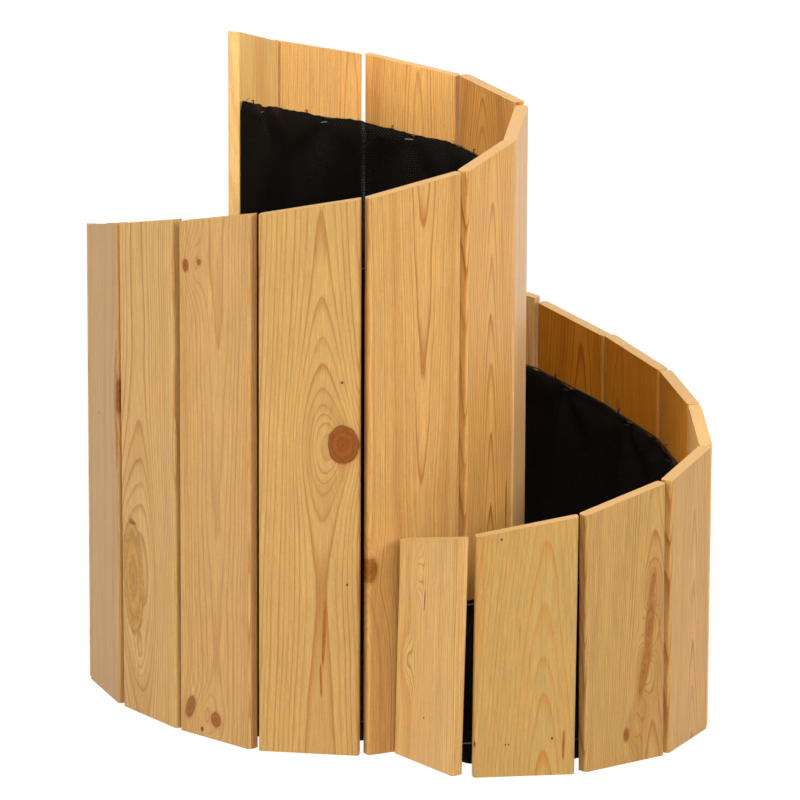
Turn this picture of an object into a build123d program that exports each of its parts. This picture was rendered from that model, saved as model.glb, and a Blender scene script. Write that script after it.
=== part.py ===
from build123d import *
import os
from collections import namedtuple
from math import acos, cos, degrees, radians, sin, tan

# Herb spiral planter: a wall of upright pine boards that winds inwards and rises to its inner end.
# Two wires and a cloth liner are stapled to the concave side of the wall. Top and bottom are open.
# Millimetres and degrees. The origin is on the ground, in the middle of the planter.

# Staves: planed boards of one section, cut to length
stave_width = 96
stave_thickness = 12.5
long_edge_radius = 3

# Plan of the wall: it starts at the tall inner end and turns clockwise, seen from above
first_heading = 67.5
turns = [34, 54.5, 35, 42, 19.5, 35.5, 36.5, 35, 11, 15, 27]
turns += [26, 25.5, 22.5, 19.5, 16, 21.5, 9.5, 17.5, 10.5, 29, 27.5]
usual_gap = 2
wide_gaps = {9: 3, 10: 6, 23: 6, 24: 8}
leans = {10: 0.5, 23: 0.5, 24: -0.4, 25: -2.2}

# The low outer end of the wall meets the outer face of this stave, a little off square
met_stave = "stave_07"
end_angle = 8
end_clearance = 0.3

# Top line: it falls from the tallest corner to the lowest, shared out among the staves as here
tallest_height = 657.5
lowest_height = 210.5
falls = [24.5, 22, 15, 12.5, 17, 13, 16.5, 18.5, 20.5, 20, 20.5, 20, 19.5, 19]
falls += [19, 18.5, 18.5, 18.5, 16.5, 12.5, 16.5, 12.5, 17.5, 16.5, 21.5]
cut_long = {4: 1, 5: -1, 17: 3, 18: -1}

# Liner: one strip of cloth along the concave side
liner_thickness = 0.8
liner_below_top = 67
liner_ground_gap = 5
liner_end_margin = 3
liner_bend_radius = 15

# Wires that carry the staves side by side, under the liner
wire_diameter = 1.2
wire_sides = 8
lower_wire_height = 30
upper_wire_below_liner_edge = 1.5
wire_end_margin = 12

# Staples: one over each wire and one through the liner, on every stave
staple_crown = 10
staple_leg = 10
staple_section = 0.8
wire_staple_place = 30
liner_staple_place = 48
liner_staple_below_edge = 6

# Layers on the inner face, each a hair off the one before
seat_gap = 0.1
leg_clearance = 0.05
wire_axis = seat_gap + wire_diameter / 2
wire_crown_seat = wire_diameter + 2 * seat_gap
liner_seat = wire_crown_seat + staple_section + seat_gap
liner_crown_seat = liner_seat + liner_thickness + seat_gap

Stave = namedtuple("Stave", "name corner heading lean first_top last_top liner_first liner_last")


def along(heading):
    """Level unit vector that points the way a heading says, 0 being +X."""
    return Vector(cos(radians(heading)), sin(radians(heading)))


def outward(heading):
    """Level unit vector out of the convex side of a stave."""
    return along(heading + 90)


def stave_name(number):
    """Name of a stave, counted from the tall end."""
    return f"stave_{number:02d}"


def gap_after(number):
    """Gap at the foot between a stave and the next one."""
    return wide_gaps.get(number, usual_gap)


def chain_headings():
    """Headings of the staves up to the last two, which close the wall."""
    headings = [first_heading]
    for turn in turns:
        headings.append(headings[-1] - turn)
    return headings


def close_wall(headings, corners):
    """Turn the last two staves so that the end of the wall meets the met stave's outer face."""
    names = [stave_name(number) for number in range(1, len(headings) + 1)]
    met = names.index(met_stave)
    facing = headings[met] + 90
    met_face = corners[met] + along(facing) * stave_thickness
    distance = (corners[-1] - met_face).dot(along(facing))
    wanted = end_clearance + stave_width * cos(radians(end_angle))
    step = stave_width + gap_after(len(headings) + 1)
    headings.append(facing - degrees(acos((wanted - distance) / step)))
    corners.append(corners[-1] + along(headings[-1]) * step)
    headings.append(facing - 180 + end_angle)


def lay_out():
    """Headings and inner foot corners of all the staves, with the first corner at 0, 0."""
    headings = chain_headings()
    corners = [Vector(0, 0)]
    for number, heading in enumerate(headings, start=1):
        corners.append(corners[-1] + along(heading) * (stave_width + gap_after(number)))
    close_wall(headings, corners)
    return headings, corners


def top_line(count):
    """Height of the top line at each end of every stave, from the tall end to the low one."""
    scale = (tallest_height - lowest_height) / sum(falls)
    return [tallest_height - scale * sum(falls[:passed]) for passed in range(count + 1)]


def plan_middle(headings, corners, tops):
    """Middle of the rectangle that the staves fill in plan, rounded edges and leans included."""
    reach = []
    for number, (heading, corner) in enumerate(zip(headings, corners), start=1):
        slide = tan(radians(leans.get(number, 0)))
        for side, top in ((0, tops[number - 1]), (1, tops[number])):
            inset = long_edge_radius + side * (stave_width - 2 * long_edge_radius)
            for depth in (long_edge_radius, stave_thickness - long_edge_radius):
                foot = corner + along(heading) * inset + outward(heading) * depth
                reach += [foot, foot + along(heading) * slide * top]
    across = [point.X for point in reach]
    deep = [point.Y for point in reach]
    return Vector((min(across) + max(across)) / 2, (min(deep) + max(deep)) / 2)


def make_staves():
    """Every stave with its place, its lean, and the heights of its top and of the liner on it."""
    headings, corners = lay_out()
    tops = top_line(len(headings))
    middle = plan_middle(headings, corners, tops)
    staves = []
    for number, (heading, corner) in enumerate(zip(headings, corners), start=1):
        first, last = tops[number - 1], tops[number]
        longer = cut_long.get(number, 0)
        staves.append(
            Stave(
                name=stave_name(number),
                corner=corner - middle,
                heading=heading,
                lean=leans.get(number, 0),
                first_top=first + longer,
                last_top=last + longer,
                liner_first=first - liner_below_top,
                liner_last=last - liner_below_top,
            )
        )
    return staves


def inner_face(stave, inwards=0):
    """Plane on a stave's inner face, or that far inside it: X along the stave, Y up."""
    facing = -outward(stave.heading)
    return Plane(origin=stave.corner + facing * inwards, x_dir=along(stave.heading), z_dir=facing)


def liner_edge(stave, place):
    """Height of the liner's top edge at a place along a stave."""
    share = place / stave_width
    return stave.liner_first * (1 - share) + stave.liner_last * share


def staple_points(stave):
    """Middle points of a stave's two wire staples and of its liner staple, on its inner face."""
    edge = liner_edge(stave, wire_staple_place)
    lower = (wire_staple_place, lower_wire_height)
    upper = (wire_staple_place, edge - upper_wire_below_liner_edge)
    liner = (liner_staple_place, liner_edge(stave, liner_staple_place) - liner_staple_below_edge)
    return [lower, upper], liner


def leg_points(middle, upright):
    """The two points where a staple's legs go in, one above the other or side by side."""
    half = (staple_crown - staple_section) / 2
    if upright:
        return [(middle[0], middle[1] - half), (middle[0], middle[1] + half)]
    return [(middle[0] - half, middle[1]), (middle[0] + half, middle[1])]


def layer_line(staves, inwards, margin):
    """Plan points of a line that keeps one distance from the inner faces, mitred at the joints."""
    first, last = staves[0], staves[-1]
    points = [first.corner + along(first.heading) * margin - outward(first.heading) * inwards]
    for before, after in zip(staves, staves[1:]):
        normal_before, normal_after = -outward(before.heading), -outward(after.heading)
        mitre = (normal_before + normal_after) / (1 + normal_before.dot(normal_after))
        points.append(after.corner + mitre * inwards)
    end = along(last.heading) * (stave_width - margin) - outward(last.heading) * inwards
    points.append(last.corner + end)
    return points


def save(part, name):
    """Name a finished piece and write it to its own file."""
    part.label = name
    export_step(part, f"parts/{name}.step")


os.makedirs("parts", exist_ok=True)
staves = make_staves()
leg_slot = staple_section + 2 * leg_clearance

# Staves: each board has a slanting top, rounded long edges and the slots that its staples made
for stave in staves:
    slide = tan(radians(stave.lean))
    foot = [(0, 0), (stave_width, 0)]
    top = [
        (stave_width + slide * stave.last_top, stave.last_top),
        (slide * stave.first_top, stave.first_top),
    ]
    wire_staples_here, liner_staple_here = staple_points(stave)
    with BuildPart() as board:
        with BuildSketch(inner_face(stave)):
            with BuildLine():
                Polyline(*foot, *top, close=True)
            make_face()
        extrude(amount=-stave_thickness)
        long_edges = board.edges().filter_by(lambda edge: abs((edge % 0.5).Z) > 0.9)
        fillet(long_edges, radius=long_edge_radius)
        with BuildSketch(inner_face(stave)):
            for middle in wire_staples_here:
                with Locations(*leg_points(middle, upright=True)):
                    Rectangle(leg_slot, leg_slot)
        extrude(amount=wire_crown_seat + staple_section - staple_leg - leg_clearance, mode=Mode.SUBTRACT)
        with BuildSketch(inner_face(stave)):
            with Locations(*leg_points(liner_staple_here, upright=False)):
                Rectangle(leg_slot, leg_slot)
        extrude(amount=liner_crown_seat + staple_section - staple_leg - leg_clearance, mode=Mode.SUBTRACT)
    save(board.part, stave.name)

# Lower wire: level, close to the ground
wire_line = layer_line(staves, wire_axis, wire_end_margin)
with BuildPart() as lower_wire:
    with BuildLine() as lower_route:
        Polyline(*[point + Vector(0, 0, lower_wire_height) for point in wire_line])
    with BuildSketch(Plane(origin=lower_route.line @ 0, z_dir=lower_route.line % 0)):
        RegularPolygon(wire_diameter / 2, wire_sides)
    sweep(path=lower_route.line, transition=Transition.RIGHT)
save(lower_wire.part, "lower_wire")

# Upper wire: it falls with the liner's top edge
edge_heights = [stave.liner_first for stave in staves] + [staves[-1].liner_last]
edge_heights[0] = liner_edge(staves[0], wire_end_margin)
edge_heights[-1] = liner_edge(staves[-1], stave_width - wire_end_margin)
upper_points = []
for point, edge in zip(wire_line, edge_heights):
    upper_points.append(point + Vector(0, 0, edge - upper_wire_below_liner_edge))
with BuildPart() as upper_wire:
    with BuildLine() as upper_route:
        Polyline(*upper_points)
    with BuildSketch(Plane(origin=upper_route.line @ 0, z_dir=upper_route.line % 0)):
        RegularPolygon(wire_diameter / 2, wire_sides)
    sweep(path=upper_route.line, transition=Transition.RIGHT)
save(upper_wire.part, "upper_wire")

# Liner: a strip that bends round every joint, cut down to its falling top edge
cut_reach = 1.5 * liner_bend_radius
cut_top = 2 * tallest_height
with BuildPart() as liner:
    with BuildSketch(Plane.XY.offset(liner_ground_gap)):
        with BuildLine():
            near = layer_line(staves, liner_seat, liner_end_margin)
            far = layer_line(staves, liner_seat + liner_thickness, liner_end_margin)
            FilletPolyline(*near, radius=liner_bend_radius)
            FilletPolyline(*far, radius=liner_bend_radius - liner_thickness)
            Line(near[0], far[0])
            Line(near[-1], far[-1])
        make_face()
    extrude(amount=tallest_height)
    for stave in staves:
        start = liner_edge(stave, -cut_reach)
        end = liner_edge(stave, stave_width + cut_reach)
        with BuildSketch(inner_face(stave, -1)):
            with BuildLine():
                Polyline(
                    (-cut_reach, start),
                    (stave_width + cut_reach, end),
                    (stave_width + cut_reach, cut_top),
                    (-cut_reach, cut_top),
                    close=True,
                )
            make_face()
    extrude(amount=cut_reach, mode=Mode.SUBTRACT)
    for stave in staves:
        with BuildSketch(inner_face(stave)):
            with Locations(*leg_points(staple_points(stave)[1], upright=False)):
                Rectangle(leg_slot, leg_slot)
    extrude(amount=liner_crown_seat, mode=Mode.SUBTRACT)
save(liner.part, "liner")


# One staple: its crown along X with the top at the origin, its legs pointing down
with BuildPart() as staple:
    with BuildSketch(Plane.XZ):
        with Locations((0, -staple_leg / 2)):
            Rectangle(staple_crown, staple_leg)
        with Locations((0, -staple_section - staple_leg / 2)):
            Rectangle(staple_crown - 2 * staple_section, staple_leg, mode=Mode.SUBTRACT)
    extrude(amount=staple_section / 2, both=True)

# Wire staples: upright crowns over both wires
wire_staple_seats = []
for stave in staves:
    face = inner_face(stave, wire_crown_seat + staple_section)
    for place, height in staple_points(stave)[0]:
        middle = face.from_local_coords(Vector(place, height))
        wire_staple_seats.append(Plane(origin=middle, x_dir=face.y_dir, z_dir=face.z_dir))
with BuildPart() as wire_staples:
    with Locations(*wire_staple_seats):
        add(staple.part)
save(wire_staples.part, "wire_staples")

# Liner staples: level crowns that hold the cloth near its top edge
liner_staple_seats = []
for stave in staves:
    face = inner_face(stave, liner_crown_seat + staple_section)
    middle = face.from_local_coords(Vector(*staple_points(stave)[1]))
    liner_staple_seats.append(Plane(origin=middle, x_dir=face.x_dir, z_dir=face.z_dir))
with BuildPart() as liner_staples:
    with Locations(*liner_staple_seats):
        add(staple.part)
save(liner_staples.part, "liner_staples")
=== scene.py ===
import math
import random
from collections import namedtuple

import bmesh
import bpy
import numpy as np
from mathutils import Euler, Matrix, Vector


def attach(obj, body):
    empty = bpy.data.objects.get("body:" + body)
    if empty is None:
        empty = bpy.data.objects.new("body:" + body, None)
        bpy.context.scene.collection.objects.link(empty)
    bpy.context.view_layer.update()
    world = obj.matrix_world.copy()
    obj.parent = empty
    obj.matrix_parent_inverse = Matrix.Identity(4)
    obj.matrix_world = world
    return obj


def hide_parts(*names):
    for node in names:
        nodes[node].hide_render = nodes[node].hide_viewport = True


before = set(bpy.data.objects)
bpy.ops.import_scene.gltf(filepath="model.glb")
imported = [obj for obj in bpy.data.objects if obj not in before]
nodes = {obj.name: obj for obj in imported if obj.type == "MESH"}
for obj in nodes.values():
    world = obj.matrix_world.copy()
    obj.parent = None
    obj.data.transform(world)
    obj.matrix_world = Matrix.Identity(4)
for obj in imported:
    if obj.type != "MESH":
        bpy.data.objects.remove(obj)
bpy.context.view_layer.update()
stave_names = sorted(name for name in nodes if name.startswith("stave_"))

# Lengths are in metres, but for the grain of the boards, which is written in millimetres
MILLIMETRE = 0.001

STAVE_WIDTH = 0.096
STAVE_THICKNESS = 0.0125

# Where the boards' feet and tops are looked for in their meshes
FOOT_SLICE = 0.0005
TOP_SLICE = 0.028

# Camera, fitted to the corners of the boards in the photograph
CAMERA_PLACE = (0.0040, -5.8870, 1.6649)
CAMERA_PITCH = 13.118
CAMERA_ROLL = 0.246
CAMERA_LENS = 279.86
CAMERA_SIGHT = 100
SENSOR_WIDTH = 36

# Liner: a strip of woven cloth that hangs on the inner side of the boards
CLOTH_THICKNESS = 0.0006
CLOTH_SEAT = 0.0027
CLOTH_BELOW_TOP = 0.067
CLOTH_ABOVE_GROUND = 0.006
CLOTH_END_MARGIN = 0.0015
CLOTH_END_REACH = 0.03
CLOTH_END_TUCK = 0.0019
CLOTH_TUCK_REACH = 0.012
CLOTH_BEND = 0.026
CLOTH_COLUMNS = 480
CLOTH_ROWS = 56
CLOTH_SEED = 7
FLAT_MAP = "flat"

# Its cut edge rises between the staples, dips just past each of them, and curls off the wall
STAPLE_BELOW_EDGE = 0.006
EDGE_RISE = 0.0016
EDGE_DIP = 0.0022
EDGE_DIP_WIDTH = 0.006
EDGE_DIP_PAST = 0.003
EDGE_FRAY = 0.0005
EDGE_CURL = 0.0022
EDGE_CURL_HEIGHT = 0.006
HELD_WIDTH = 0.012

# Its folds grow below the edge. The lower ones are longer and die out up the cloth
FOLD_DEPTH = 0.0085
FOLD_LENGTH = 0.085
LOWER_FOLDS_LONGER = 1.4
FOLD_START = 0.05
UPPER_FOLD_POWER = 0.3

# Puckers run out from each staple, where the cloth itself is pinned flat
PUCKERS_ROUND = 5
PUCKER_DEPTH = 0.0036
PUCKER_REACH = 0.055
PUCKER_CREST = 0.6
PUCKER_START = 0.02
PINNED_WIDTH = 0.010
PINNED_HEIGHT = 0.006

# Loose threads of the cloth's cut edge, which all look like one place on a tape
THREADS = 34
THREAD_WIDTH = 0.0007
THREAD_THICKNESS = 0.0002
THREAD_LENGTHS = (0.003, 0.008)
THREAD_STEPS = 10
THREAD_SWAYS = (-0.8, 0.8)
THREAD_SWAY_POWER = 1.6
THREAD_BOWS = (0.1, 0.45)
THREAD_SUNK = 0.002
THREAD_OFF_CLOTH = 0.0004
THREAD_COLUMNS_AT_END = (1, 3, 8)
THREADS_FROM_COLUMN = 12
THREAD_SEED = 11
THREAD_ON_TAPE = (0.0002, 0.0002)

# Colour sockets of a Mix node, which share their names with those for numbers and vectors
MIX_FIRST = 6
MIX_SECOND = 7
MIX_RESULT = 2


class Field:
    """A number that varies over a surface. Sums on it add math nodes to its tree."""

    def __init__(self, tree, socket):
        self.tree = tree
        self.socket = socket

    def __add__(self, other):
        return sum_node(self.tree, "ADD", self, other)

    def __radd__(self, other):
        return sum_node(self.tree, "ADD", other, self)

    def __sub__(self, other):
        return sum_node(self.tree, "SUBTRACT", self, other)

    def __rsub__(self, other):
        return sum_node(self.tree, "SUBTRACT", other, self)

    def __mul__(self, other):
        return sum_node(self.tree, "MULTIPLY", self, other)

    def __truediv__(self, other):
        return sum_node(self.tree, "DIVIDE", self, other)

    def __pow__(self, other):
        return sum_node(self.tree, "POWER", self, other)

    def __neg__(self):
        return sum_node(self.tree, "MULTIPLY", self, -1)


def feed(tree, socket, value):
    """Link a field or a socket to a socket, or set its plain value."""
    if isinstance(value, Field):
        value = value.socket
    if isinstance(value, bpy.types.NodeSocket):
        tree.links.new(value, socket)
    else:
        socket.default_value = value


def add_node(tree, kind, inputs=None, **settings):
    """Add a node with its settings, and its inputs by name or number."""
    node = tree.nodes.new(kind)
    for name, value in settings.items():
        setattr(node, name, value)
    for key, value in (inputs or {}).items():
        feed(tree, node.inputs[key], value)
    return node


def sum_node(tree, operation, *values):
    """A math node's result as a field."""
    node = add_node(tree, "ShaderNodeMath", dict(enumerate(values)), operation=operation)
    return Field(tree, node.outputs[0])


def root(field):
    return sum_node(field.tree, "SQRT", field)


def span(first, second):
    """Straight distance of a place that lies so far off in two directions."""
    return root(first * first + second * second)


def size_of(field):
    return sum_node(field.tree, "ABSOLUTE", field)


def larger(first, second):
    return sum_node(first.tree, "MAXIMUM", first, second)


def smaller(first, second):
    return sum_node(first.tree, "MINIMUM", first, second)


def bell(field):
    """One where the field is 0, falling off on both sides as a bell does."""
    return sum_node(field.tree, "EXPONENT", -(field * field))


def ramp(field, low, high, start=0.0, end=1.0):
    """Smooth change from start to end while the field goes from low to high."""
    inputs = {"Value": field, "From Min": low, "From Max": high, "To Min": start, "To Max": end}
    node = add_node(field.tree, "ShaderNodeMapRange", inputs, interpolation_type="SMOOTHSTEP")
    return Field(field.tree, node.outputs["Result"])


def split(tree, vector):
    """The three parts of a vector as fields."""
    node = add_node(tree, "ShaderNodeSeparateXYZ", {"Vector": vector})
    return [Field(tree, output) for output in node.outputs]


def join(tree, x, y, z):
    """A vector socket made of three fields or numbers."""
    return add_node(tree, "ShaderNodeCombineXYZ", {"X": x, "Y": y, "Z": z}).outputs["Vector"]


def noise(tree, place, detail=2.0, roughness=0.5):
    """Cloudy noise about 0, one unit of place to a lump."""
    inputs = {"Vector": place, "Scale": 1.0, "Detail": detail, "Roughness": roughness}
    node = add_node(tree, "ShaderNodeTexNoise", inputs, noise_dimensions="3D")
    return Field(tree, node.outputs["Fac"]) - 0.5


def noise_along(tree, field, detail=1.0):
    """Noise about 0 that changes along one number only."""
    inputs = {"W": field, "Scale": 1.0, "Detail": detail}
    node = add_node(tree, "ShaderNodeTexNoise", inputs, noise_dimensions="1D")
    return Field(tree, node.outputs["Fac"]) - 0.5


def blend_colours(tree, share, first, second, kind="MIX"):
    """A colour socket between two colours."""
    node = add_node(tree, "ShaderNodeMix", data_type="RGBA", blend_type=kind)
    feed(tree, node.inputs["Factor"], share)
    feed(tree, node.inputs[MIX_FIRST], first)
    feed(tree, node.inputs[MIX_SECOND], second)
    return node.outputs[MIX_RESULT]


def shade(tree, colour, strength):
    """A colour made lighter or darker by a field about 1."""
    level = join(tree, strength, strength, strength)
    return blend_colours(tree, 1.0, colour, level, kind="MULTIPLY")


def start_group(name, inputs, outputs):
    """A shader group with named sockets. Gives its tree, its inputs, and its output node."""
    kinds = {"number": "NodeSocketFloat", "vector": "NodeSocketVector", "colour": "NodeSocketColor"}
    tree = bpy.data.node_groups.new(name, "ShaderNodeTree")
    for socket_name, kind in inputs.items():
        tree.interface.new_socket(socket_name, in_out="INPUT", socket_type=kinds[kind])
    for socket_name, kind in outputs.items():
        tree.interface.new_socket(socket_name, in_out="OUTPUT", socket_type=kinds[kind])
    entry = tree.nodes.new("NodeGroupInput")
    given = {}
    for socket_name, kind in inputs.items():
        socket = entry.outputs[socket_name]
        given[socket_name] = Field(tree, socket) if kind == "number" else socket
    return tree, given, tree.nodes.new("NodeGroupOutput")


def use_group(tree, group, **inputs):
    """A group placed in a tree. An input name has its words joined by a low line."""
    node = tree.nodes.new("ShaderNodeGroup")
    node.node_tree = group
    for name, value in inputs.items():
        feed(tree, node.inputs[name.replace("_", " ")], value)
    return node.outputs


# Noise in the wood: lumps to a millimetre across a board, through it and up it, and the share that
# it has in what it changes
Lumps = namedtuple("Lumps", "across through up share")
LAZY_WAVES = Lumps(0.018, 0.018, 0.0055, 4)
QUICK_WAVES = Lumps(0.12, 0.12, 0.016, 1)
STREAKS = Lumps(0.6, 0.6, 0.018, 0.62)
HAIRS = Lumps(1.5, 1.5, 0.06, 0.5)
FLECKS = Lumps(0.8, 0.8, 0.3, 0.34)
CLOUDS = Lumps(0.035, 0.03, 0.009, 0.2)
DASHES = Lumps(1.3, 1.3, 0.07, 0.1)
PORES = Lumps(1.5, 1.5, 1.5, 0.3)
KNOT_CLOUDS = Lumps(0.22, 0.1, 0.22, 0.45)
KNOT_FLECKS = Lumps(0.8, 0.1, 0.8, 0.9)


def in_lumps(parts, lumps):
    """The three parts of a place, counted in lumps."""
    return [part * count for part, count in zip(parts, lumps)]


def swell_group():
    """Lifts or sinks the rings round a point of a board, which bends them into eyes and peaks."""
    tree, given, out = start_group(
        "swell in the rings",
        {
            "place": "vector",
            "lift": "number",
            "across": "number",
            "height": "number",
            "reach across": "number",
            "reach up": "number",
            "amount": "number",
        },
        {"lift": "number"},
    )
    x, _, z = split(tree, given["place"])
    sideways = (x - given["across"]) / given["reach across"]
    upwards = (z - given["height"]) / given["reach up"]
    bump = bell(span(sideways, upwards))
    feed(tree, out.inputs["lift"], given["lift"] + given["amount"] * bump)
    return tree


# Grain round a knot, with its reach in half sizes of the knot
KNOT_RAGGED = 0.22
RAGS_ROUND = 1.4
RAGS_THROUGH = 0.05
PARTED_ACROSS = 1.9
PARTED_UP = 2.6
CORE_EDGE = (0.95, 1.02)


def knot_group():
    """Parts the grain round a knot, and marks the knot's core and its own distance."""
    tree, given, out = start_group(
        "grain round a knot",
        {
            "place": "vector",
            "across": "number",
            "height": "number",
            "half width": "number",
            "half height": "number",
            "tilt": "number",
            "pull": "number",
        },
        {"place": "vector", "core": "number", "distance": "number"},
    )
    x, y, z = split(tree, given["place"])
    cosine = sum_node(tree, "COSINE", given["tilt"])
    sine = sum_node(tree, "SINE", given["tilt"])
    off = x - given["across"]
    rise = z - given["height"]
    side = (off * cosine + rise * sine) / given["half width"]
    up = (rise * cosine - off * sine) / given["half height"]
    rags = join(tree, side * RAGS_ROUND, y * RAGS_THROUGH, up * RAGS_ROUND)
    distance = span(side, up) + noise(tree, rags, detail=3.0) * KNOT_RAGGED
    near = bell(span(side / PARTED_ACROSS, up / PARTED_UP))
    moved = x - off * near * given["pull"]
    feed(tree, out.inputs["place"], join(tree, moved, y, z))
    feed(tree, out.inputs["core"], ramp(distance, *CORE_EDGE, 1.0, 0.0))
    feed(tree, out.inputs["distance"], distance)
    return tree


# Growth rings: how their middle drifts up the board, and how their widths and bands vary. The count
# starts high, so that it stays above zero.
DRIFT_LUMPS = 0.006
DRIFT = 5
RINGS_BEFORE = 40
UNEVEN_LUMPS = 0.3
UNEVEN = 1.3
BAND_LUMPS = 0.13
BAND_SEED = 3

# Late wood in each ring, as shares of the ring's width, and the faintest ring's strength
LATE_START = 0.36
LATE_END = 0.93
LATE_POWER = 2.4
FAINTEST_RING = 0.35


def rings_group():
    """Growth rings of a board cut from a log: pale early wood, and late wood that ends sharply."""
    tree, given, out = start_group(
        "growth rings",
        {
            "place": "vector",
            "lift": "number",
            "pith across": "number",
            "pith depth": "number",
            "rise": "number",
            "ring width": "number",
            "wander": "number",
            "seed": "number",
        },
        {"late wood": "number", "band": "number"},
    )
    x, y, z = split(tree, given["place"])
    seed = given["seed"]
    wander = given["wander"]
    drift = noise_along(tree, z * DRIFT_LUMPS + seed) * wander * DRIFT
    across, through, up = in_lumps((x, y, z), LAZY_WAVES)
    lazy = noise(tree, join(tree, across + seed, through, up)) * wander * LAZY_WAVES.share
    across, through, up = in_lumps((x, y, z), QUICK_WAVES)
    quick = noise(tree, join(tree, across, through + seed, up)) * wander * QUICK_WAVES.share
    off = x - given["pith across"] - drift
    deep = y + given["pith depth"]
    radius = span(off, deep) + given["rise"] * z + given["lift"] + lazy + quick
    count = radius / given["ring width"] + RINGS_BEFORE
    count = count + noise_along(tree, count * UNEVEN_LUMPS + seed) * UNEVEN
    year = sum_node(tree, "FLOOR", count)
    share = count - year
    strength = add_node(tree, "ShaderNodeTexWhiteNoise", {"W": year + seed}, noise_dimensions="1D")
    strength = Field(tree, strength.outputs["Value"]) * (1 - FAINTEST_RING) + FAINTEST_RING
    growing = ramp(share, LATE_START, LATE_END) ** LATE_POWER
    late = growing * ramp(share, LATE_END, 1.0, 1.0, 0.0) * strength
    feed(tree, out.inputs["late wood"], late)
    band = noise_along(tree, count * BAND_LUMPS + seed * BAND_SEED) + 0.5
    feed(tree, out.inputs["band"], band)
    return tree


# Tones of the wood: tan bands lie over the rings, and end grain has a colour of its own
TAN = 0.45
TAN_BANDS = (0.5, 0.85)
TAN_CLOUDS = 0.5
TAN_SHARE = 0.75
DASH_EDGE = (0.2, 0.28)
PAINTED_SHADE_DEPTHS = (-6, -4)
# Painted shade: depths through a board, in millimetres, over which the inside colour darkens its inner
# face
END_FACING_UP = (0.6, 0.9)
END_WOOD = (206, 162, 98)
END_WOOD_SHARE = 0.7
END_LEVEL = 1.04
END_LATE_DARKER = 0.1

# Roughness and relief of the planed faces and the cut ends
PINE_ROUGHNESS = 0.44
LATE_SMOOTHER = 0.08
HAIRS_ROUGHER = 0.1
END_ROUGHER = 0.25
LATE_RELIEF = 0.5
STREAK_RELIEF = 0.5
HAIR_RELIEF = 0.35


def pine_group():
    """Colour, roughness and relief of planed pine, end grain included, with painted shade on the inner
    face.
    """
    tree, given, out = start_group(
        "planed pine",
        {
            "place": "vector",
            "late wood": "number",
            "band": "number",
            "contrast": "number",
            "early": "colour",
            "late": "colour",
            "end wood": "colour",
            "inside": "colour",
            "seed": "number",
        },
        {"colour": "colour", "roughness": "number", "relief": "number"},
    )
    parts = split(tree, given["place"])
    seed = given["seed"]
    late_wood = given["late wood"]
    across, through, up = in_lumps(parts, STREAKS)
    streaks = noise(tree, join(tree, across + seed, through, up), detail=4.0, roughness=0.7)
    across, through, up = in_lumps(parts, HAIRS)
    hairs = noise(tree, join(tree, across, through + seed, up), detail=2.0)
    across, through, up = in_lumps(parts, FLECKS)
    flecks = noise(tree, join(tree, across + seed, through, up), detail=3.0, roughness=0.7)
    across, through, up = in_lumps(parts, CLOUDS)
    clouds = noise(tree, join(tree, across, through + seed, up), detail=2.0)
    across, through, up = in_lumps(parts, DASHES)
    dashes = ramp(noise(tree, join(tree, across, through, up + seed), detail=1.0), *DASH_EDGE)
    pores = noise(tree, join(tree, *in_lumps(parts, PORES)), detail=3.0)
    normal = add_node(tree, "ShaderNodeNewGeometry").outputs["Normal"]
    _, _, facing_up = split(tree, normal)
    end_grain = ramp(size_of(facing_up), *END_FACING_UP)
    late_share = late_wood * given["contrast"]
    wood = blend_colours(tree, late_share, given["early"], given["late"])
    tan = blend_colours(tree, TAN, given["early"], given["late"])
    tan = blend_colours(tree, 1.0, wood, tan, kind="DARKEN")
    tan_share = ramp(given["band"] + clouds * TAN_CLOUDS, *TAN_BANDS) * TAN_SHARE
    wood = blend_colours(tree, tan_share, wood, tan)
    # Painted shade: the inner face is multiplied by the inside colour, which stands in for shade that
    # falls on it
    painted_shade_share = ramp(parts[1], *PAINTED_SHADE_DEPTHS, 1, 0)
    wood = blend_colours(tree, painted_shade_share, wood, given["inside"], kind="MULTIPLY")
    wood = blend_colours(tree, end_grain * END_WOOD_SHARE, wood, given["end wood"])
    along = 1 + streaks * STREAKS.share + hairs * HAIRS.share + flecks * FLECKS.share
    along = along + clouds * CLOUDS.share - dashes * DASHES.share
    across_cut = END_LEVEL + pores * PORES.share - late_wood * END_LATE_DARKER
    level = along * (1 - end_grain) + across_cut * end_grain
    feed(tree, out.inputs["colour"], shade(tree, wood, level))
    rough = PINE_ROUGHNESS - late_wood * LATE_SMOOTHER
    rough = rough + hairs * HAIRS_ROUGHER + end_grain * END_ROUGHER
    feed(tree, out.inputs["roughness"], rough)
    relief = late_wood * LATE_RELIEF + streaks * STREAK_RELIEF + hairs * HAIR_RELIEF
    feed(tree, out.inputs["relief"], relief + pores * end_grain)
    return tree


# Look of a knot's core, with distances in half sizes of the knot
KNOT_LEVEL = 1.04
KNOT_RINGS = 15
KNOT_RING_WAVER = 5
KNOT_RING_DEPTH = 0.15
CRACK_EDGE = (0.08, 0.15)
CRACKED_REACH = 0.5
CRACK_DEPTH = 0.4
HEART_REACH = 0.14
HEART_DEPTH = 0.4

# Its dark rim, which is fainter here and there, and the stain round it
RIM_LEVEL = 0.34
RIM_PLACE = 0.98
RIM_WIDTH = 0.05
RIM_CLOUDS = (-0.15, 0.1)
RIM_FAINTEST = 0.35
STAIN_REACH = 0.3
STAIN_SHARE = 0.6


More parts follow.
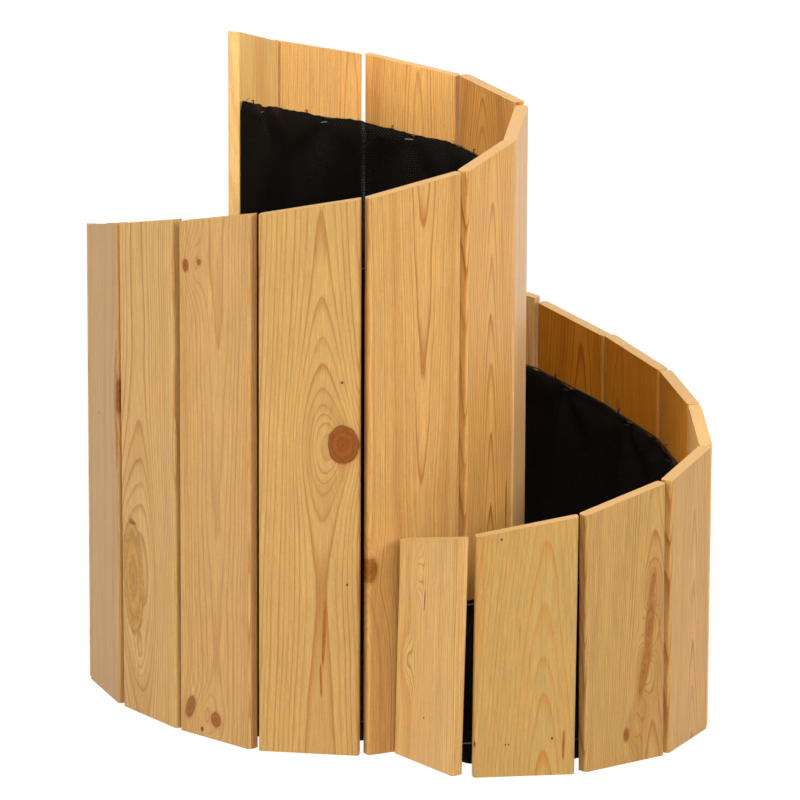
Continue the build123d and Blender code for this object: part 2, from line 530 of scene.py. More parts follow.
def knot_finish_group():
    """Colours a knot: rings of its own, a dark rim, cracks, and stained wood round it."""
    tree, given, out = start_group(
        "knot",
        {
            "colour": "colour",
            "place": "vector",
            "core": "number",
            "distance": "number",
            "wood": "colour",
            "rim": "number",
            "stain": "number",
            "seed": "number",
        },
        {"colour": "colour"},
    )
    parts = split(tree, given["place"])
    distance = given["distance"]
    across, through, up = in_lumps(parts, KNOT_CLOUDS)
    cloud = noise(tree, join(tree, across + given["seed"], through, up), detail=3.0)
    waves = sum_node(tree, "SINE", distance * KNOT_RINGS + cloud * KNOT_RING_WAVER)
    place = join(tree, *in_lumps(parts, KNOT_FLECKS))
    fine = noise(tree, place, detail=3.0, roughness=0.7)
    cracks = ramp(fine, *CRACK_EDGE) * bell(distance / CRACKED_REACH)
    heart = bell(distance / HEART_REACH)
    level = KNOT_LEVEL + waves * KNOT_RING_DEPTH + cloud * KNOT_CLOUDS.share
    level = level + fine * KNOT_FLECKS.share - cracks * CRACK_DEPTH - heart * HEART_DEPTH
    core = shade(tree, given["wood"], level)
    dark = shade(tree, given["wood"], RIM_LEVEL)
    halo = bell((larger(distance, 1.0) - 1) / STAIN_REACH) * given["stain"]
    stained = blend_colours(tree, halo * STAIN_SHARE, given["colour"], given["wood"])
    mixed = blend_colours(tree, given["core"], stained, core)
    uneven = ramp(cloud, *RIM_CLOUDS, RIM_FAINTEST, 1.0)
    rim = bell((distance - RIM_PLACE) / RIM_WIDTH) * uneven * given["rim"]
    feed(tree, out.inputs["colour"], blend_colours(tree, rim, mixed, dark))
    return tree


# A screen's steps of brightness follow a straight line near black, and a power above it
SCREEN_LINE_END = 0.04045
SCREEN_LINE = 12.92
SCREEN_OFFSET = 0.055
SCREEN_POWER = 2.4


def linear(red, green, blue):
    """A colour given as it shows on a screen, 0 to 255, as shader values."""
    values = []
    for level in (red, green, blue):
        share = level / 255
        if share < SCREEN_LINE_END:
            values.append(share / SCREEN_LINE)
        else:
            values.append(((share + SCREEN_OFFSET) / (1 + SCREEN_OFFSET)) ** SCREEN_POWER)
    return (*values, 1.0)


# Boards as they grew. Millimetres: across is from the middle of a board, the way the wall runs.
# The early and late colours in the list below are set so that each board renders close to the
# photograph. Those of stave_01 to stave_03 are lighter than the wood, as painted light on their inner
# faces, and inside is painted shade that darkens a board's inner face.
Grain = namedtuple(
    "Grain",
    "pith depth rise width wander contrast early late swells knots inside",
    defaults=(0, 30, 0.02, 2.6, 1.0, 0.8, (212, 168, 104), (172, 112, 46), (), (), (1, 1, 1)),
)
Swell = namedtuple("Swell", "across height reach_across reach_up amount")
Knot = namedtuple(
    "Knot",
    "across height half_width half_height tilt pull wood rim stain",
    defaults=(0, 1.0, (134, 74, 24), 0.5, 0.35),
)


SPECK_STAIN = 0.3


def speck(across, height, half_width=1.1, half_height=1.3, wood=(98, 54, 20), tilt=0):
    """A small dark mark or a streak of resin, which leaves the grain as it is."""
    return Knot(
        across, height, half_width, half_height, tilt, pull=0, wood=wood, rim=0, stain=SPECK_STAIN
    )


GRAINS = {
    # Painted light: these three boards are given lighter colours, for the light on their inner faces
    "stave_01": Grain(
        pith=4, depth=14, rise=-0.05, width=3.4, contrast=0.5, early=(242, 194, 117), late=(191, 117, 44)
    ),
    "stave_02": Grain(
        pith=34, depth=24, rise=0.02, width=2.4, contrast=0.6, early=(242, 186, 108), late=(193, 116, 42)
    ),
    "stave_03": Grain(
        pith=10, depth=22, rise=0.02, width=1.9, contrast=0.75, early=(238, 180, 100), late=(187, 107, 34)
    ),
    "stave_04": Grain(
        pith=-6,
        depth=16,
        rise=0.12,
        width=3.4,
        contrast=0.95,
        early=(211, 150, 76),
        late=(146, 78, 21),
        knots=(speck(12, 596),),
    ),
    "stave_05": Grain(
        pith=60, depth=50, rise=0.01, width=2.6, contrast=0.4, early=(226, 179, 118), late=(180, 113, 48)
    ),
    "stave_06": Grain(
        pith=-2,
        depth=12,
        rise=0.05,
        width=3.0,
        contrast=0.9,
        early=(220, 165, 90),
        late=(168, 95, 28),
        knots=(speck(-36, 212, 1.4, 26, (158, 83, 19)),),
    ),
    "stave_07": Grain(
        pith=-8,
        depth=9,
        rise=-0.02,
        width=2.1,
        contrast=0.75,
        early=(204, 155, 88),
        late=(159, 93, 30),
        swells=(Swell(40, 176, 16, 40, -13),),
        knots=(Knot(46, 180, 7, 12, 0.1, 0.9, (148, 89, 33), 0.15, 0.7),),
    ),
    "stave_08": Grain(
        pith=-12,
        depth=12,
        rise=0.035,
        width=4.6,
        wander=0.7,
        contrast=0.8,
        early=(193, 151, 87),
        late=(154, 90, 28),
        swells=(Swell(-17, 302, 26, 84, -20), Swell(-24, 300, 19, 36, -17)),
        knots=(
            Knot(-33, 302, 14.8, 18.6, 0, 0.8, (132, 70, 12), 0.8, 0.25),
            speck(-15, 118, 1.7, 34, (158, 93, 29), 0.04),
            speck(-12, 72, 1.2, 17, (158, 96, 33), -0.03),
            speck(-32, 362),
            speck(-37, 167),
        ),
    ),
    "stave_09": Grain(
        pith=-4,
        depth=40,
        rise=-0.012,
        width=2.3,
        contrast=0.6,
        early=(201, 156, 94),
        late=(159, 95, 32),
        swells=(Swell(32, 458, 15, 30, -9), Swell(22, 22, 22, 30, -8)),
        knots=(
            Knot(38, 457, 4, 6, 0, 0.9, (143, 78, 26), 0.4, 0.6),
            Knot(20, 463, 3, 3, 0.6, 0.9, (150, 86, 32), 0.4, 0.6),
            Knot(33, 26, 6, 12, 0.35, 0.9, (150, 89, 36), 0.45, 0.4),
            Knot(-2, 20, 7, 7.5, 0, 0.9, (150, 89, 36), 0.5, 0.4),
            Knot(16, 7, 2.4, 2.4, 0, 0.9, (107, 55, 17), 0.4, 0.3),
        ),
    ),
    "stave_10": Grain(
        pith=16,
        depth=22,
        rise=0.0,
        width=3.1,
        contrast=0.85,
        early=(205, 161, 97),
        late=(162, 99, 36),
        swells=(Swell(24, 140, 50, 105, -16), Swell(17, 60, 10, 24, -6)),
        knots=(
            Knot(27, 133, 18, 57, -0.05, 0.9, (180, 130, 60), 0.7, 0.2),
            speck(27, 188, 1.3, 1.8, (134, 82, 32)),
        ),
    ),
    "stave_11": Grain(
        pith=-70,
        depth=40,
        rise=0.01,
        width=2.6,
        contrast=0.6,
        early=(192, 148, 88),
        late=(151, 93, 38),
        swells=(Swell(-46, 304, 20, 52, -9),),
        knots=(
            Knot(-49, 307, 8, 16, 0, 0.9, (134, 78, 24), 0.3, 0.9),
            speck(-46, 296, 2.2, 66, (162, 106, 39)),
            speck(12, 278, 1.3, 1.5),
        ),
    ),
    # Painted shade: inside darkens the inner faces of stave_18 to stave_20, which lie in shade in the low
    # pocket
    "stave_18": Grain(
        pith=16,
        depth=16,
        rise=0.08,
        width=4.4,
        contrast=0.75,
        early=(212, 168, 104),
        late=(157, 89, 24),
        inside=(0.86, 0.57, 0.12),
    ),
    "stave_19": Grain(
        pith=-20,
        depth=26,
        rise=0.04,
        width=2.8,
        contrast=0.5,
        early=(212, 168, 104),
        late=(167, 97, 30),
        inside=(0.86, 0.58, 0.13),
    ),
    "stave_20": Grain(
        pith=30,
        depth=30,
        rise=-0.03,
        width=2.6,
        contrast=0.5,
        early=(218, 170, 104),
        late=(173, 104, 35),
        inside=(0.94, 0.74, 0.26),
    ),
    "stave_21": Grain(
        pith=-12, depth=30, rise=0.02, width=2.4, contrast=0.6, early=(238, 193, 121), late=(190, 119, 48)
    ),
    "stave_22": Grain(
        pith=-8, depth=9, rise=0.05, width=2.6, contrast=0.9, early=(201, 153, 86), late=(163, 100, 36)
    ),
    "stave_23": Grain(
        pith=-34,
        depth=18,
        rise=0.045,
        width=2.0,
        contrast=0.85,
        early=(189, 147, 83),
        late=(148, 87, 26),
        swells=(
            Swell(-33, 166, 8, 20, -8),
            Swell(-28, 126, 11, 24, 8),
            Swell(-24, 88, 10, 20, -9),
            Swell(-4, 34, 12, 22, -10),
        ),
        knots=(
            Knot(-32, 168, 3.0, 14, 0.16, 0.5, (152, 100, 40), 0, 0.9),
            Knot(-29, 128, 4.5, 26, 0.12, 0.5, (152, 100, 40), 0, 0.9),
            Knot(-24, 86, 4.0, 24, 0.2, 0.5, (152, 100, 40), 0, 0.9),
            Knot(-2, 28, 4.0, 6, 0, 0.8, (141, 83, 25), 0.2, 0.9),
        ),
    ),
    "stave_24": Grain(
        pith=-18,
        depth=14,
        rise=0.07,
        width=3.6,
        wander=0.8,
        contrast=0.75,
        early=(183, 146, 82),
        late=(184, 108, 28),
        knots=(
            speck(24.5, 229),
            speck(-26, 36),
            speck(47, 32, 0.8, 3),
            speck(-37, 29, 1.2, 15, (150, 86, 26)),
            speck(18, 31, 0.7, 0.8),
            speck(15, 31, 0.7, 0.8),
        ),
    ),
    "stave_25": Grain(
        pith=-60,
        depth=30,
        rise=-0.01,
        width=1.7,
        contrast=0.95,
        early=(216, 173, 107),
        late=(171, 104, 39),
        swells=(Swell(20, 184, 12, 30, -14), Swell(35, 94, 14, 34, -15)),
        knots=(
            speck(4, 160, 0.6, 10, (81, 42, 11), 0.05),
            speck(0, 46, 0.8, 1.4),
        ),
    ),
}


# Boards that are not in the list: about half of them have one knot, clear of their edges and ends
KNOT_CHANCE = 0.5
KNOT_SIZES = (4, 9)
KNOT_PLACES = (-34, 34)
KNOT_HEIGHTS = (60, 220)
KNOT_LONGER = 1.2


def chance_grain(number):
    """Grain of a board that has no likeness to keep."""
    chance = random.Random(number)
    knots = ()
    if chance.random() < KNOT_CHANCE:
        size = chance.uniform(*KNOT_SIZES)
        across, height = chance.uniform(*KNOT_PLACES), chance.uniform(*KNOT_HEIGHTS)
        knots = (Knot(across, height, size, size * KNOT_LONGER),)
    return Grain(
        pith=chance.uniform(-30, 30),
        depth=chance.uniform(8, 40),
        rise=chance.choice((-1, 1)) * chance.uniform(0.015, 0.05),
        width=chance.uniform(2.2, 4.0),
        contrast=chance.uniform(0.5, 0.85),
        knots=knots,
    )


Board = namedtuple("Board", "middle heading lean first_top last_top")


def read_boards():
    """Place of every board, read from the outlines of its foot and top."""
    outlines, tops = [], []
    for name in stave_names:
        points = np.array([vertex.co for vertex in nodes[name].data.vertices])
        foot = points[points[:, 2] < FOOT_SLICE]
        outlines.append(np.unique(foot[:, :2].round(6), axis=0))
        tops.append(points[points[:, 2] > points[:, 2].max() - TOP_SLICE])
    middles = [outline.mean(axis=0) for outline in outlines]
    boards = []
    for place, (outline, top, middle) in enumerate(zip(outlines, tops, middles)):
        direction = np.linalg.svd(outline - middle)[2][0]
        onward = middles[min(place + 1, len(middles) - 1)] - middles[max(place - 1, 0)]
        direction *= np.sign(direction @ onward)
        across = (top[:, :2] - middle) @ direction
        slide = (across.min() + across.max()) / 2
        first = top[across < slide, 2].max()
        last = top[across > slide, 2].min()
        heading = math.atan2(direction[1], direction[0])
        lean = math.atan2(slide, (first + last) / 2)
        boards.append(Board(Vector((*middle, 0)), heading, lean, first, last))
    return boards


boards = read_boards()


def along(board):
    """Level direction in which the wall runs past a board."""
    return Vector((math.cos(board.heading), math.sin(board.heading), 0))


def outward(board):
    """Level direction out of a board's outer face."""
    return Vector((-math.sin(board.heading), math.cos(board.heading), 0))


GROUPS = {
    "swell": swell_group(),
    "knot": knot_group(),
    "rings": rings_group(),
    "pine": pine_group(),
    "knot finish": knot_finish_group(),
}


def new_material(name):
    """An empty material with its output node and tree."""
    material = bpy.data.materials.new(name)
    material.use_nodes = True
    tree = material.node_tree
    tree.nodes.clear()
    return material, tree, tree.nodes.new("ShaderNodeOutputMaterial")


def surface(tree, output, height=None, bump=0.0, bump_distance=0.001, **inputs):
    """A Principled surface. An input name has its words joined by a low line."""
    node = tree.nodes.new("ShaderNodeBsdfPrincipled")
    for name, value in inputs.items():
        feed(tree, node.inputs[name.replace("_", " ")], value)
    if height is not None:
        relief = {"Height": height, "Strength": bump, "Distance": bump_distance}
        feed(tree, node.inputs["Normal"], add_node(tree, "ShaderNodeBump", relief).outputs["Normal"])
    tree.links.new(node.outputs["BSDF"], output.inputs["Surface"])


# How far the noise of one board is from the next board's
SEED_STEP = 3.7


def part_grain(tree, place, knots):
    """Part the grain round every knot. Gives the moved place, and each knot with its marks."""
    marks = []
    for knot in knots:
        outputs = use_group(
            tree,
            GROUPS["knot"],
            place=place,
            across=knot.across,
            height=knot.height,
            half_width=knot.half_width,
            half_height=knot.half_height,
            tilt=knot.tilt,
            pull=knot.pull,
        )
        place = outputs["place"]
        marks.append((knot, outputs))
    return place, marks


def colour_knots(tree, colour, plain, marks, seed):
    """The wood's colour with every knot's own colour laid over it."""
    for knot, outputs in marks:
        finish = use_group(
            tree,
            GROUPS["knot finish"],
            colour=colour,
            place=plain,
            core=outputs["core"],
            distance=outputs["distance"],
            wood=linear(*knot.wood),
            rim=knot.rim,
            stain=knot.stain,
            seed=seed + knot.height,
        )
        colour = finish["colour"]
    return colour


def pine_material(name, number, board, grain):
    """The wood of one board, laid out along it: X across, Y through its thickness, Z up."""
    material, tree, output = new_material(f"pine of {name}")
    coordinates = tree.nodes.new("ShaderNodeTexCoord").outputs["Object"]
    mapping = {
        "Vector": coordinates,
        "Location": board.middle,
        "Rotation": (0, board.lean, board.heading),
        "Scale": (MILLIMETRE, MILLIMETRE, MILLIMETRE),
    }
    plain = add_node(tree, "ShaderNodeMapping", mapping, vector_type="TEXTURE").outputs["Vector"]
    seed = number * SEED_STEP
    place, marks = part_grain(tree, plain, grain.knots)
    lift = 0.0
    for swell in grain.swells:
        sizes = swell._asdict()
        lift = use_group(tree, GROUPS["swell"], place=plain, lift=lift, **sizes)["lift"]
    rings = use_group(
        tree,
        GROUPS["rings"],
        place=place,
        lift=lift,
        pith_across=grain.pith,
        pith_depth=grain.depth,
        rise=grain.rise,
        ring_width=grain.width,
        wander=grain.wander,
        seed=seed,
    )
    wood = use_group(
        tree,
        GROUPS["pine"],
        place=place,
        late_wood=rings["late wood"],
        band=rings["band"],
        contrast=grain.contrast,
        early=linear(*grain.early),
        late=linear(*grain.late),
        end_wood=linear(*END_WOOD),
        # Painted shade of the inner face, plain white where a board has none
        inside=(*grain.inside, 1),
        seed=seed,
    )
    surface(
        tree,
        output,
        height=wood["relief"],
        bump=0.25,
        bump_distance=0.0004,
        Base_Color=colour_knots(tree, wood["colour"], plain, marks, seed),
        Roughness=wood["roughness"],
        Specular_IOR_Level=0.25,
    )
    return material


def dress(node_name, material):
    """Give a CAD node a material in place of its plain one."""
    slots = nodes[node_name].material_slots
    if not slots:
        nodes[node_name].data.materials.append(material)
    for slot in slots:
        slot.material = material


# Metal with cloudy or drawn-out marks: lumps to a metre along each axis, and what they change
Metal = namedtuple("Metal", "lumps detail dark light metallic roughness rougher bump bump_distance")
ZINC = Metal(
    lumps=(260, 260, 260),
    detail=3.0,
    dark=(44, 42, 40),
    light=(82, 79, 75),
    metallic=0.6,
    roughness=0.42,
    rougher=0.3,
    bump=0.2,
    bump_distance=0.0002,
)
STEEL = Metal(
    lumps=(900, 900, 2600),
    detail=2.0,
    dark=(150, 150, 152),
    light=(214, 214, 216),
    metallic=1.0,
    roughness=0.34,
    rougher=0.25,
    bump=0.15,
    bump_distance=0.0001,
)


def metal_material(name, metal):
    """The dull zinc of the galvanised wires, or the bright steel of the liner's staples."""
    material, tree, output = new_material(name)
    place = tree.nodes.new("ShaderNodeTexCoord").outputs["Object"]
    lumps = in_lumps(split(tree, place), metal.lumps)
    marks = noise(tree, join(tree, *lumps), detail=metal.detail)
    surface(
        tree,
        output,
        height=marks,
        bump=metal.bump,
        bump_distance=metal.bump_distance,
        Base_Color=blend_colours(tree, marks + 0.5, linear(*metal.dark), linear(*metal.light)),
        Metallic=metal.metallic,
        Roughness=marks * metal.rougher + metal.roughness,
    )
    return material


# Woven cloth: its tapes, how round their backs are and how they dip, and the pinholes between
TAPE_WIDTH = 0.0016
TAPE_ROUND = 3.2
TAPE_DIP = 0.4
# Painted sheen: the tapes that lie level on top are given a lighter colour than the near-black ones, for
# the light off their backs
TAPE_PAINTED_SHEEN = (31, 27, 21)
TAPE_DARK = (2, 2, 1)
PINHOLE_EDGE = (0.36, 0.42)
PINHOLES_OPEN = 0.8

# Its dust and stretch marks, in lumps to a metre, and how rough it is
DUST_LUMPS = 42
DUST_EDGE = (0.12, 0.4)
DUST_SHARE = 0.12
DUST_COLOUR = (40, 36, 30)
STRETCH_ACROSS = 900
STRETCH_ALONG = 60
STRETCH_RELIEF = 0.2
CLOTH_ROUGHNESS = 0.48
STRETCH_ROUGHER = 0.25
TURN_ROUGHER = 0.1


def weave_group():
    """Flat plastic tapes woven over and under: their rounded backs, and the pinholes between."""
    tree, given, out = start_group(
        "woven tapes",
        {"flat place": "vector", "tape width": "number"},
        {"tapes": "number", "turn": "number", "holes": "number"},
    )
    u, v, _ = split(tree, given["flat place"])
    across, up = u / given["tape width"], v / given["tape width"]
    column, line = sum_node(tree, "FLOOR", across), sum_node(tree, "FLOOR", up)
    over = sum_node(tree, "FLOORED_MODULO", column + line, 2.0)
    off_column = size_of(across - column - 0.5)
    off_line = size_of(up - line - 0.5)
    upright = 1 - off_column * off_column * TAPE_ROUND - off_line * TAPE_DIP
    level = 1 - off_line * off_line * TAPE_ROUND - off_column * TAPE_DIP
    feed(tree, out.inputs["tapes"], upright * over + level * (1 - over))
    feed(tree, out.inputs["turn"], over)
    feed(tree, out.inputs["holes"], ramp(smaller(off_column, off_line), *PINHOLE_EDGE))
    return tree


def cloth_material():
    """Black woven liner cloth. It reads the flat place of the cloth from its UV map, in metres."""
    material, tree, output = new_material("woven liner cloth")
    flat = add_node(tree, "ShaderNodeUVMap", uv_map=FLAT_MAP).outputs["UV"]
    weave = use_group(tree, weave_group(), flat_place=flat, tape_width=TAPE_WIDTH)
    tapes = Field(tree, weave["tapes"])
    over = Field(tree, weave["turn"])
    holes = Field(tree, weave["holes"])
    u, v, _ = split(tree, flat)
    dust_place = join(tree, u * DUST_LUMPS, v * DUST_LUMPS, 0.0)
    dust = noise(tree, dust_place, detail=5.0, roughness=0.65)
    stretch = noise(tree, join(tree, u * STRETCH_ACROSS, v * STRETCH_ALONG, 0.0), detail=2.0)
    # Painted sheen: where the level tapes lie on top, the cloth is lighter
    colour = blend_colours(tree, over, linear(*TAPE_PAINTED_SHEEN), linear(*TAPE_DARK))
    dusty = ramp(dust, *DUST_EDGE) * DUST_SHARE
    colour = blend_colours(tree, dusty, colour, linear(*DUST_COLOUR))
    surface(
        tree,
        output,
        height=tapes + stretch * STRETCH_RELIEF,
        bump=0.7,
        bump_distance=0.0006,
        Base_Color=colour,
        Roughness=CLOTH_ROUGHNESS + stretch * STRETCH_ROUGHER + over * TURN_ROUGHER,
        Specular_IOR_Level=0.04,
        Alpha=1 - holes * PINHOLES_OPEN,
    )
    return material


def wall_line(inset):
    """Points that keep one distance inside the boards' inner faces, a millimetre apart."""
    lines = []
    for board in boards:
        face = board.middle - outward(board) * (STAVE_THICKNESS / 2 + inset)
        lines.append((face, along(board)))
    start = lines[0][0] - lines[0][1] * (STAVE_WIDTH / 2 - CLOTH_END_MARGIN)
    corners = [start]
    for (first, run), (second, next_run) in zip(lines, lines[1:]):
        gap = second - first
        turn = run.x * next_run.y - run.y * next_run.x
        corners.append(first + run * ((gap.x * next_run.y - gap.y * next_run.x) / turn))
    corners.append(lines[-1][0] + lines[-1][1] * (STAVE_WIDTH / 2 - CLOTH_END_MARGIN))
    corners = np.array([corner[:2] for corner in corners])
    steps = np.linalg.norm(np.diff(corners, axis=0), axis=1)
    reached = np.concatenate([[0], np.cumsum(steps)])
    places = np.arange(0, reached[-1], MILLIMETRE)
    line = np.stack([np.interp(places, reached, corners[:, axis]) for axis in (0, 1)], axis=1)
    return line, reached


def rounded(line, window):
    """The line with its corners rounded by averaging over a window, its ends kept."""
    half = int(window / MILLIMETRE / 2)
    ahead = 2 * line[0] - line[half:0:-1]
    behind = 2 * line[-1] - line[-2 : -half - 2 : -1]
    longer = np.concatenate([ahead, line, behind])
    kernel = np.ones(2 * half + 1) / (2 * half + 1)
    return np.stack([np.convolve(longer[:, axis], kernel, mode="valid") for axis in (0, 1)], axis=1)


def edge_heights(reached):
    """Height of the cloth's top edge at every joint of the wall."""
    heights = [boards[0].first_top]
    for before, after in zip(boards, boards[1:]):
        heights.append(min(before.last_top, after.first_top))
    heights.append(boards[-1].last_top)
    return np.array(heights) - CLOTH_BELOW_TOP


def bell_of(value):
    """The bell of plain numbers."""
    return np.exp(-(value**2))


def lazy_wave(chance, places, length):
    """A smooth random wave between 0 and 1 along the cloth."""
    count = int(places[-1] / length) + 3
    stops = np.arange(count) * length + chance.uniform(-length / 3, length / 3, count)
    levels = chance.uniform(0, 1, count)
    share = np.interp(places, stops, levels)
    half = int(length / 3 / (places[1] - places[0]))
    kernel = np.hanning(2 * half + 1)
    padded = np.pad(share, half, mode="edge")
    return np.convolve(padded, kernel / kernel.sum(), mode="valid")


def cut_edge(chance, columns, reached, staples):
    """Height of the cloth's cut top edge along the cloth."""
    top = np.interp(columns, reached, edge_heights(reached))
    between = np.interp(columns, staples, np.arange(len(staples))) % 1
    top += EDGE_RISE * (1 - 2 * np.abs(between - 0.5))
    offs = [columns - staple - EDGE_DIP_PAST for staple in staples]
    top -= EDGE_DIP * sum(bell_of(off / EDGE_DIP_WIDTH) for off in offs)
    return top + chance.normal(0, EDGE_FRAY, len(columns))


# What makes the cloth stand off the wall: its length and its staples, the waves of its upper and
# lower folds, the turn of the puckers round each staple, and how firmly each column is held
Folds = namedtuple("Folds", "length staples upper lower turns held")


def cloth_depth(folds, column, place, share, below):
    """How far one point of the cloth stands off its line, towards the inside of the planter."""
    to_end = min(place, folds.length - place)
    near = int(np.argmin(np.abs(folds.staples - place)))
    side, down = place - folds.staples[near], below - STAPLE_BELOW_EDGE
    free = min(1, to_end / CLOTH_END_REACH)
    free *= 1 - bell_of(side / PINNED_WIDTH) * bell_of(down / PINNED_HEIGHT)
    upper = folds.upper[column] * (1 - share) ** UPPER_FOLD_POWER
    wavy = upper + folds.lower[column] * (1 - share)
    depth = FOLD_DEPTH * free * min(1, below / FOLD_START) * wavy
    distance = math.hypot(side, down)
    turn = math.atan2(side, down)
    crest = bell_of(distance / PUCKER_REACH - PUCKER_CREST)
    pucker = math.cos(PUCKERS_ROUND * turn + folds.turns[near]) * crest
    depth += PUCKER_DEPTH * free * (1 + pucker) * min(1, distance / PUCKER_START)
    depth += EDGE_CURL * bell_of(below / EDGE_CURL_HEIGHT) * (1 - min(1, folds.held[column]))
    return depth - CLOTH_END_TUCK * bell_of(to_end / CLOTH_TUCK_REACH)


def make_liner():
    """The cloth: pinned flat by its staples, with scallops, soft folds and puckers between."""
    line, reached = wall_line(CLOTH_SEAT)
    line = rounded(line, CLOTH_BEND)
    length = (len(line) - 1) * MILLIMETRE
    staples = (reached[:-1] + reached[1:]) / 2
    staples[0] = STAVE_WIDTH / 2 - CLOTH_END_MARGIN
    columns = np.linspace(0, length, CLOTH_COLUMNS + 1)
    chance = np.random.default_rng(CLOTH_SEED)
    top = cut_edge(chance, columns, reached, staples)
    upper = lazy_wave(chance, columns, FOLD_LENGTH)
    lower = lazy_wave(chance, columns, FOLD_LENGTH * LOWER_FOLDS_LONGER)
    turns = chance.uniform(-1, 1, len(staples))
    held = sum(bell_of((columns - staple) / HELD_WIDTH) for staple in staples)
    folds = Folds(length, staples, upper, lower, turns, held)
    slopes = np.gradient(line, axis=0)
    slopes /= np.linalg.norm(slopes, axis=1)[:, None]
    sheet = bmesh.new()
    bmesh.ops.create_grid(sheet, x_segments=CLOTH_COLUMNS, y_segments=CLOTH_ROWS, size=0.5)
    sheet.verts.index_update()
    flat_places = {}
    edge = {}
    for vertex in sheet.verts:
        column = round((vertex.co.x + 0.5) * CLOTH_COLUMNS)
        share = vertex.co.y + 0.5
        place = columns[column]
        height = CLOTH_ABOVE_GROUND + share * (top[column] - CLOTH_ABOVE_GROUND)
        depth = cloth_depth(folds, column, place, share, top[column] - height)
        spot = min(len(line) - 1, round(place / MILLIMETRE))
        inward = Vector((slopes[spot][1], -slopes[spot][0], 0))
        vertex.co = Vector((*line[spot], height)) + inward * depth
        flat_places[vertex.index] = (place, height)
        if share > 1 - 0.5 / CLOTH_ROWS:
            edge[column] = (vertex.co.copy(), inward)
    lay_flat(sheet, lambda vertex: flat_places[vertex.index])
    width = float(top.max() - CLOTH_ABOVE_GROUND)
    area = float(np.trapz(top - CLOTH_ABOVE_GROUND, columns))
    return sheet, edge, (width, float(length)), area


def lay_flat(sheet, flat_place):
    """Keep each vertex's place on the flat cloth in a UV map, which the weave follows."""
    flat = sheet.loops.layers.uv.new(FLAT_MAP)
    for face in sheet.faces:
        for loop in face.loops:
            loop[flat].uv = flat_place(loop.vert)


def make_threads(edge):
    """Tapes worked loose from the cut edge, which stand up a little and bend over inwards."""
    chance = random.Random(THREAD_SEED)
    threads = bmesh.new()
    choice = range(THREADS_FROM_COLUMN, CLOTH_COLUMNS - 2)
    others = chance.sample(choice, THREADS - len(THREAD_COLUMNS_AT_END))
    for column in (*THREAD_COLUMNS_AT_END, *others):
        start, inward = edge[column]
        ahead = (edge[column + 1][0] - start).normalized()
        length = chance.uniform(*THREAD_LENGTHS)
        sway, bow = chance.uniform(*THREAD_SWAYS), chance.uniform(*THREAD_BOWS)
        grid = bmesh.ops.create_grid(threads, x_segments=THREAD_STEPS, y_segments=1, size=0.5)
        for vertex in grid["verts"]:
            share, side = vertex.co.x + 0.5, vertex.co.y
            rise = length * (share - bow * share**2) - THREAD_SUNK
            lean = length * sway * share**THREAD_SWAY_POWER
            off = THREAD_OFF_CLOTH + length * bow * share**2
            middle = start + inward * off + ahead * lean
            vertex.co = middle + Vector((0, 0, rise)) + ahead * side * THREAD_WIDTH
    lay_flat(threads, lambda vertex: THREAD_ON_TAPE)
    return threads


def mesh_object(name, mesh_source, material):
    """An object at the origin from a bmesh, smooth shaded."""
    mesh = bpy.data.meshes.new(name)
    mesh_source.to_mesh(mesh)
    mesh_source.free()
    mesh.materials.append(material)
    mesh.shade_smooth()
    piece = bpy.data.objects.new(name, mesh)
    bpy.context.scene.collection.objects.link(piece)
    return piece


def hang_liner():
    """Make the liner piece, give it its thickness, attach it to the root body, and hide the CAD liner."""
    sheet, edge, flat_size, area = make_liner()
    weave = cloth_material()
    cloth = mesh_object("liner_cloth", sheet, weave)
    threads = mesh_object("liner_threads", make_threads(edge), weave)
    for piece, depth in ((cloth, CLOTH_THICKNESS), (threads, THREAD_THICKNESS)):
        thickness = piece.modifiers.new("thickness", "SOLIDIFY")
        thickness.thickness = depth
        thickness.offset = 0
        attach(piece, "root")
    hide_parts("liner")


# Soft square lamps: name, place, width and power
LAMPS = (
    ("left_lamp", (-3.3, -2.6, 2.1), 1.8, 105),
    ("right_lamp", (3.3, -2.6, 2.1), 1.8, 105),
    ("front_lamp", (0.3, -4.2, 3.2), 2.0, 90),
    ("top_lamp", (0.0, -0.6, 3.6), 2.0, 36),
    ("back_lamp", (0.8, 4.0, 2.2), 2.0, 70),
)
LAMPS_AIM = (0, 0, 0.3)
SURROUNDINGS_LIGHT = 0.15
WHITE = (1, 1, 1, 1)

# The floor: its own grey, and the white that the camera and shiny surfaces see over it. The white
# is a little over 1, so that it stays white with the floor's own shading mixed in.
FLOOR_REACH = 60
FLOOR_GREY = (0.6, 0.6, 0.6, 1)
FLOOR_WHITE_STRENGTH = 1.13
FLOOR_WHITE_SHARE = 0.86


def studio():
    """White floor and surroundings, with soft lamps all round, the back and top ones weaker."""
    world = bpy.data.worlds.new("studio")
    bpy.context.scene.world = world
    world.use_nodes = True
    tree = world.node_tree
    tree.nodes.clear()
    dim = {"Color": WHITE, "Strength": SURROUNDINGS_LIGHT}
    light = add_node(tree, "ShaderNodeBackground", dim)
    white = add_node(tree, "ShaderNodeBackground", {"Color": WHITE, "Strength": 1.0})
    parts = {0: seen_directly(tree), 1: light.outputs[0], 2: white.outputs[0]}
    mixed = add_node(tree, "ShaderNodeMixShader", parts)
    output = tree.nodes.new("ShaderNodeOutputWorld")
    tree.links.new(mixed.outputs[0], output.inputs["Surface"])
    for lamp in LAMPS:
        soft_lamp(*lamp)
    lay_floor()


def seen_directly(tree):
    """One for rays from the camera and for those that metal reflects or glass passes."""
    path = tree.nodes.new("ShaderNodeLightPath")
    camera = Field(tree, path.outputs["Is Camera Ray"])
    glossy = Field(tree, path.outputs["Is Glossy Ray"])
    return larger(larger(camera, glossy), Field(tree, path.outputs["Is Transmission Ray"]))


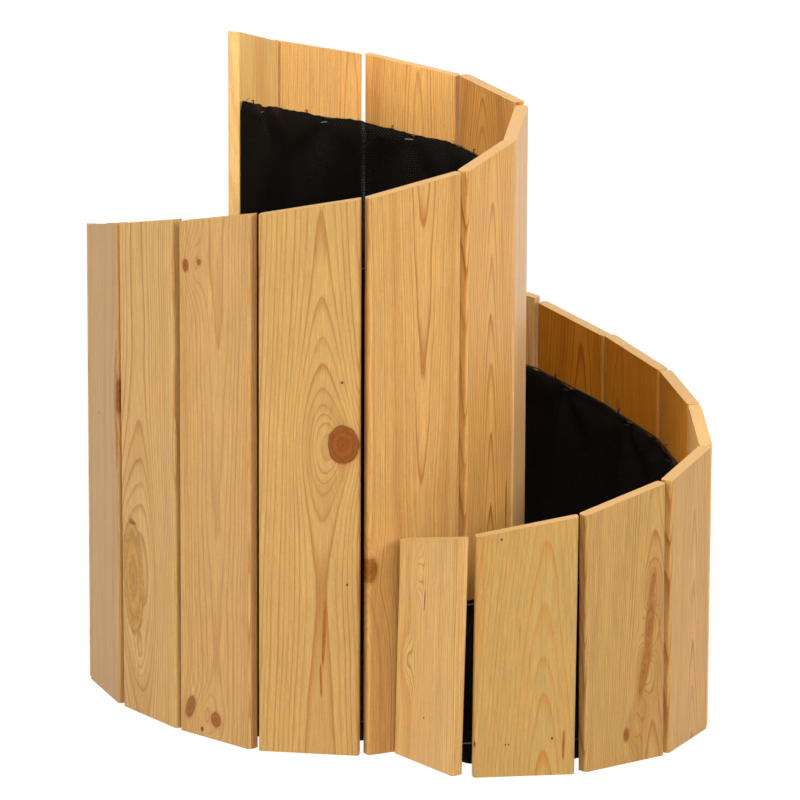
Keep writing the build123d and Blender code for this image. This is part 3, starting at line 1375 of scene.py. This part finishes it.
def soft_lamp(name, place, width, power):
    """A square lamp that faces the middle of the planter."""
    data = bpy.data.lights.new(name, "AREA")
    data.size = width
    data.energy = power
    lamp = bpy.data.objects.new(name, data)
    lamp.location = place
    aim = Vector(LAMPS_AIM) - Vector(place)
    lamp.rotation_euler = aim.to_track_quat("-Z", "Y").to_euler()
    lamp.visible_camera = False
    bpy.context.scene.collection.objects.link(lamp)


def lay_floor():
    """A wide pale floor that shows white and keeps a faint shadow."""
    material, tree, output = new_material("white floor")
    dull = add_node(tree, "ShaderNodeBsdfDiffuse", {"Color": FLOOR_GREY})
    bright = {"Color": WHITE, "Strength": FLOOR_WHITE_STRENGTH}
    white = add_node(tree, "ShaderNodeEmission", bright)
    share = seen_directly(tree) * FLOOR_WHITE_SHARE
    parts = {0: share, 1: dull.outputs[0], 2: white.outputs[0]}
    mixed = add_node(tree, "ShaderNodeMixShader", parts)
    tree.links.new(mixed.outputs[0], output.inputs["Surface"])
    ground = bmesh.new()
    bmesh.ops.create_grid(ground, x_segments=1, y_segments=1, size=FLOOR_REACH)
    floor = mesh_object("floor", ground, material)


def place_camera():
    """The photograph's camera."""
    data = bpy.data.cameras.new("camera")
    data.lens = CAMERA_LENS
    data.sensor_width = SENSOR_WIDTH
    data.sensor_fit = "HORIZONTAL"
    data.clip_end = CAMERA_SIGHT
    camera = bpy.data.objects.new("camera", data)
    tilt = Euler((math.radians(90 - CAMERA_PITCH), 0, 0)).to_matrix().to_4x4()
    roll = Matrix.Rotation(math.radians(CAMERA_ROLL), 4, "Z")
    camera.matrix_world = Matrix.Translation(CAMERA_PLACE) @ tilt @ roll
    bpy.context.scene.collection.objects.link(camera)
    bpy.context.scene.camera = camera


place_camera()
studio()
for number, (name, board) in enumerate(zip(stave_names, boards), start=1):
    grain = GRAINS.get(name) or chance_grain(number)
    dress(name, pine_material(name, number, board, grain))
zinc = metal_material("galvanised wire", ZINC)
dress("lower_wire", zinc)
dress("upper_wire", zinc)
dress("wire_staples", zinc)
dress("liner_staples", metal_material("staple steel", STEEL))
hang_liner()
bpy.context.scene.view_settings.view_transform = "Standard"
